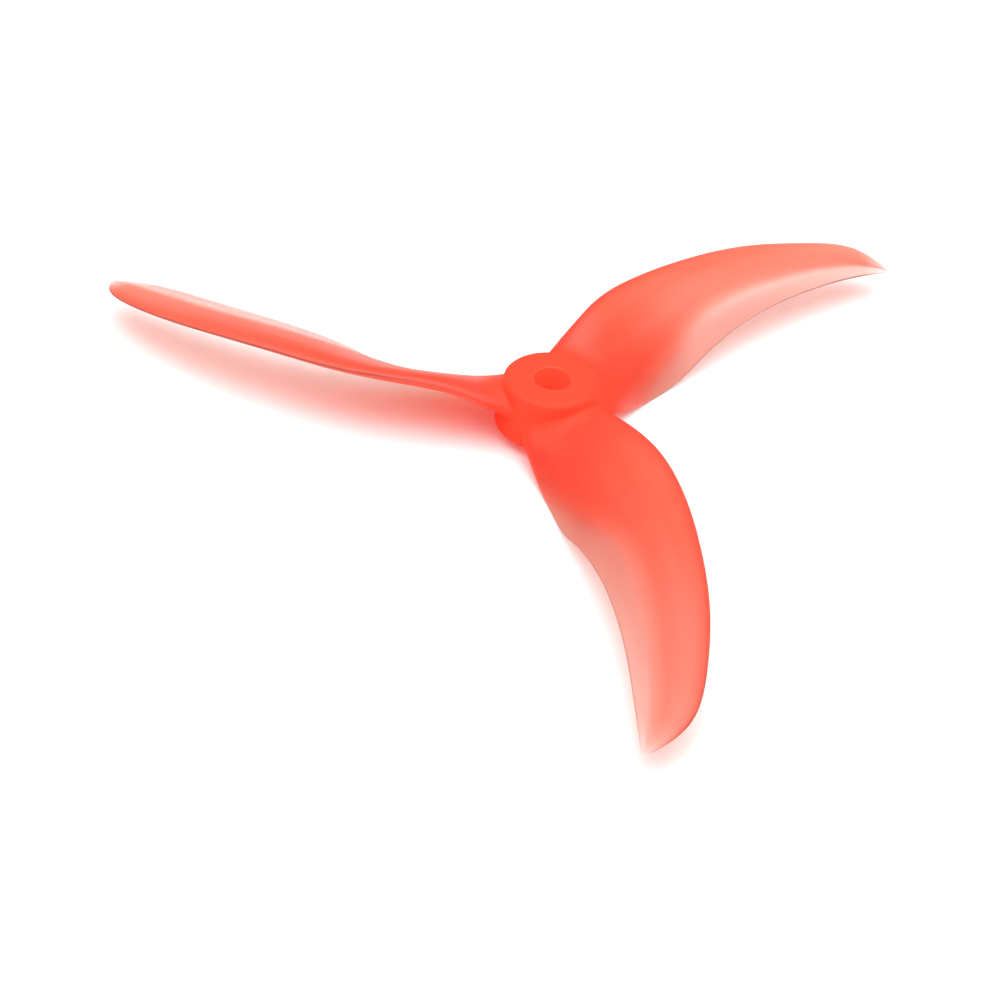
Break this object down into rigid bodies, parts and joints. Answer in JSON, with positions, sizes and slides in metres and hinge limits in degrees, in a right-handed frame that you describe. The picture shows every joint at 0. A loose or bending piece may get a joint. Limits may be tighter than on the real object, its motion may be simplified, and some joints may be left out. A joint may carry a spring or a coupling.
{
  "type": "propeller",
  "caption": "Swept-blade propeller for a small quadcopter, moulded in clear red plastic, with a round hub and a plain bore for the motor shaft.",
  "frame": {"origin": "centre of the bore in the plane of the motor seat, which is the hub's flat underside", "axes": "+Z along the bore, from the motor seat to the nut seat; +X along blade_1; blade_2 and blade_3 follow anticlockwise seen from +Z"},
  "size_m": [0.1053, 0.1089, 0.0093],
  "materials": {
    "clear_red_plastic": "translucent coral red polycarbonate with a satin gloss, paler where it is thin"
  },
  "bodies": {
    "root": {"hub": "clear_red_plastic", "blade_1": "clear_red_plastic", "blade_2": "clear_red_plastic", "blade_3": "clear_red_plastic"}
  },
  "joints": []
}
